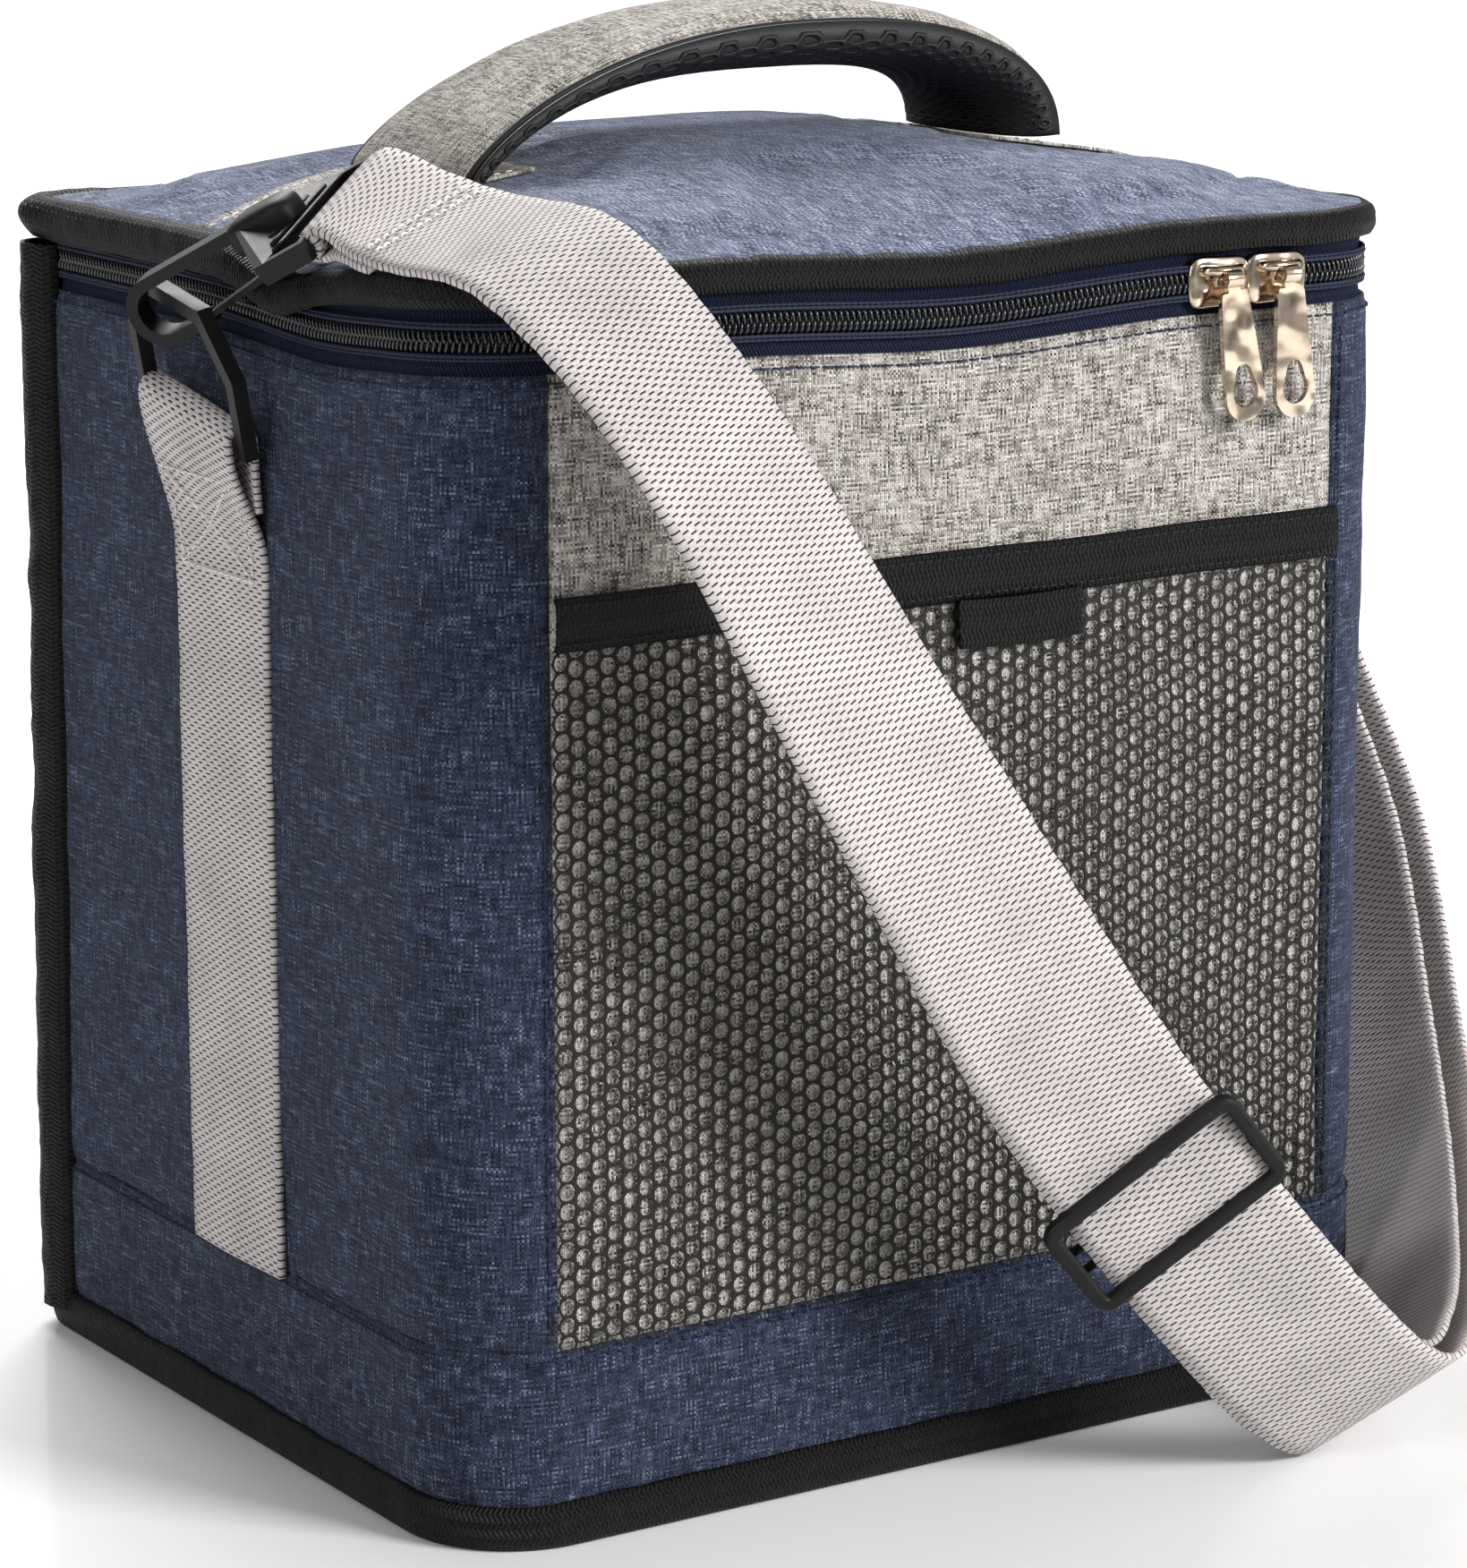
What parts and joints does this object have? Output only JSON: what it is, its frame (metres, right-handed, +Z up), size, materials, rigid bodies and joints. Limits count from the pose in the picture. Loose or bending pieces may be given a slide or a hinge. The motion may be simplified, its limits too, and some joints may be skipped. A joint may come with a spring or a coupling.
{
  "type": "insulated cooler bag",
  "caption": "Box-shaped insulated cooler bag with a zipped hinged lid, padded carry handle, net front pocket and a clip-on webbing shoulder strap.",
  "frame": {"origin": "centre of the base, on the floor", "axes": "+Z up, +Y towards the hinged back, so the pocket and zip pulls face -Y; +X to the right seen from the front"},
  "size_m": [0.3128, 0.2506, 0.3007],
  "materials": {
    "navy_fabric": "heathered plain weave",
    "grey_fabric": "melange plain weave",
    "black_binding": "ribbed woven tape",
    "net": "knitted net",
    "webbing": "flat woven webbing with a darker fleck",
    "zip_tape": "herringbone tape with a nylon chain",
    "foam": "closed-cell foam",
    "foil": "foil-faced film",
    "board": "stiff board",
    "metal": "pale champagne plating",
    "plastic": "satin moulded plastic"
  },
  "bodies": {
    "bag": {"side_panel_left": "navy_fabric", "side_panel_right": "navy_fabric", "front_panel": "grey_fabric", "back_panel": "navy_fabric", "base_band": "navy_fabric", "base_panel": "navy_fabric", "base_binding": "black_binding", "base_board": "board", "base_foam": "foam", "wall_foam": "foam", "liner_tub": "foil", "back_binding_left": "black_binding", "back_binding_right": "black_binding", "hinge_strip": "navy_fabric", "pocket_mesh": "net", "pocket_band": "black_binding", "label_tab": "black_binding", "lower_zip_tape": "zip_tape", "lower_zip_coil": "zip_tape", "side_webbing_left": "webbing", "side_webbing_right": "webbing"},
    "lid": {"lid_panel": "navy_fabric", "lid_foam": "foam", "lid_liner": "foil", "lid_binding": "black_binding", "upper_zip_tape": "zip_tape", "upper_zip_coil": "zip_tape", "handle_patch_left": "grey_fabric", "handle_patch_right": "grey_fabric"},
    "handle": {"handle_cover": "grey_fabric", "handle_foam": "foam", "handle_mesh": "net"},
    "slider_left": {"slider_left": "metal"},
    "slider_right": {"slider_right": "metal"},
    "pull_left": {"pull_left": "metal"},
    "pull_right": {"pull_right": "metal"},
    "ring_left": {"ring_left": "plastic"},
    "ring_right": {"ring_right": "plastic"},
    "strap": {"shoulder_strap": "webbing"},
    "hook_left": {"hook_left": "plastic"},
    "hook_right": {"hook_right": "plastic"},
    "gate_left": {"gate_left": "plastic"},
    "gate_right": {"gate_right": "plastic"},
    "triglide": {"triglide": "plastic"}
  },
  "joints": [
    {"name": "lid_hinge", "type": "hinge", "parent": "bag", "child": "lid", "pos_m": [0, 0.093, 0.246], "axis": [-1, 0, 0], "range_deg": [0, 105]},
    {"name": "handle_tilt", "type": "hinge", "parent": "lid", "child": "handle", "pos_m": [0, 0, 0.2709], "axis": [-1, 0, 0], "range_deg": [-25, 25]},
    {"name": "slider_left_run", "type": "slide", "parent": "bag", "child": "slider_left", "axis": [1, 0, 0], "range_m": [-0.115, 0]},
    {"name": "slider_right_run", "type": "slide", "parent": "bag", "child": "slider_right", "axis": [1, 0, 0], "range_m": [0, 0.005]},
    {"name": "pull_left_flap", "type": "hinge", "parent": "slider_left", "child": "pull_left", "pos_m": [0.066, -0.0977, 0.2477], "axis": [-1, 0, 0], "range_deg": [0, 120]},
    {"name": "pull_right_flap", "type": "hinge", "parent": "slider_right", "child": "pull_right", "pos_m": [0.0812, -0.0977, 0.2477], "axis": [-1, 0, 0], "range_deg": [0, 120]},
    {"name": "strap_swing", "type": "hinge", "parent": "bag", "child": "strap", "pos_m": [0, -0.00069, 0.24764], "axis": [-0.9999, -0.0167, -0.0015], "range_deg": [0, 12]},
    {"name": "ring_left_play", "type": "hinge", "parent": "bag", "child": "ring_left", "pos_m": [-0.1252, 0.0015, 0.2226], "axis": [0, -0.9848, -0.1736], "range_deg": [-1, 1]},
    {"name": "ring_right_play", "type": "hinge", "parent": "bag", "child": "ring_right", "pos_m": [0.1252, 0.0015, 0.2226], "axis": [0, 1, 0], "range_deg": [-2, 2]},
    {"name": "hook_left_play", "type": "hinge", "parent": "strap", "child": "hook_left", "pos_m": [-0.11204, -0.03768, 0.26832], "axis": [0.7391, 0.5985, 0.309], "range_deg": [-0.4, 1]},
    {"name": "hook_right_play", "type": "hinge", "parent": "strap", "child": "hook_right", "pos_m": [0.14085, 0.0015, 0.20381], "axis": [0, 1, 0], "range_deg": [-1.5, 1.5]},
    {"name": "gate_left_flex", "type": "hinge", "parent": "hook_left", "child": "gate_left", "pos_m": [-0.116, -0.0286, 0.2602], "axis": [0.7391, 0.5985, 0.309], "range_deg": [0, 8]},
    {"name": "gate_right_flex", "type": "hinge", "parent": "hook_right", "child": "gate_right", "pos_m": [0.13551, 0.0015, 0.21546], "axis": [0, 1, 0], "range_deg": [0, 8]},
    {"name": "triglide_run", "type": "slide", "parent": "strap", "child": "triglide", "axis": [0.6271, -0.0492, -0.7774], "range_m": [-0.008, 0.004]}
  ]
}
